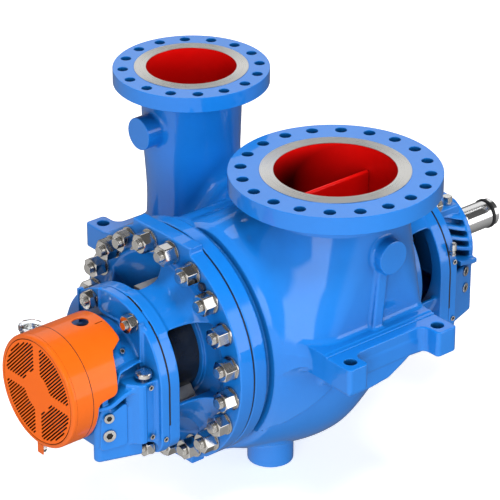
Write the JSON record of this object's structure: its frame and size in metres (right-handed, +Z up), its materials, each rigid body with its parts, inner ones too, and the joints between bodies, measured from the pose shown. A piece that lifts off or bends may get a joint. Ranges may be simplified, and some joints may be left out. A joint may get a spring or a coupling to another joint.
{
  "type": "centrifugal pump",
  "caption": "Between-bearings process pump with top suction and top discharge, bolted head, lantern brackets, bearing housings and a guarded cooling fan.",
  "frame": {"origin": "on the flat sole of the outboard foot on the suction side, between its bolt hole and the casing", "axes": "+X along the shaft towards the drive end, +Y towards the discharge side, +Z up"},
  "size_m": [1.67, 1.1955, 0.995],
  "materials": {
    "blue_paint": "gloss",
    "black_seal": "satin",
    "bright_steel": "machined",
    "dark_steel": "satin",
    "orange_paint": "gloss",
    "clear_bulb": "clear"
  },
  "bodies": {
    "frame": {"casing": "blue_paint", "outboard_head": "blue_paint", "inboard_bracket": "blue_paint", "outboard_bearing_housing": "blue_paint", "inboard_bearing_housing": "blue_paint", "outboard_bearing_cover": "blue_paint", "inboard_bearing_cover": "blue_paint", "outboard_seal_gland": "black_seal", "inboard_seal_gland": "black_seal", "outboard_seal_port": "bright_steel", "inboard_seal_port": "bright_steel", "guard_drum": "orange_paint", "guard_front": "orange_paint", "guard_tab": "orange_paint", "outboard_oil_cap": "bright_steel", "outboard_upper_plug": "bright_steel", "outboard_lower_plug": "bright_steel", "inboard_upper_plug": "bright_steel", "inboard_lower_plug": "bright_steel", "oiler_base": "bright_steel", "oiler_bulb": "clear_bulb"},
    "rotor": {"shaft": "bright_steel", "cooling_fan": "dark_steel", "outboard_seal_collar": "bright_steel", "inboard_seal_collar": "bright_steel", "outboard_deflector": "black_seal", "inboard_deflector": "black_seal"}
  },
  "joints": [
    {"name": "shaft_spin", "type": "hinge", "parent": "frame", "child": "rotor", "pos_m": [0.2255, 0.48, -0.017], "axis": [1, 0, 0], "continuous": true}
  ]
}
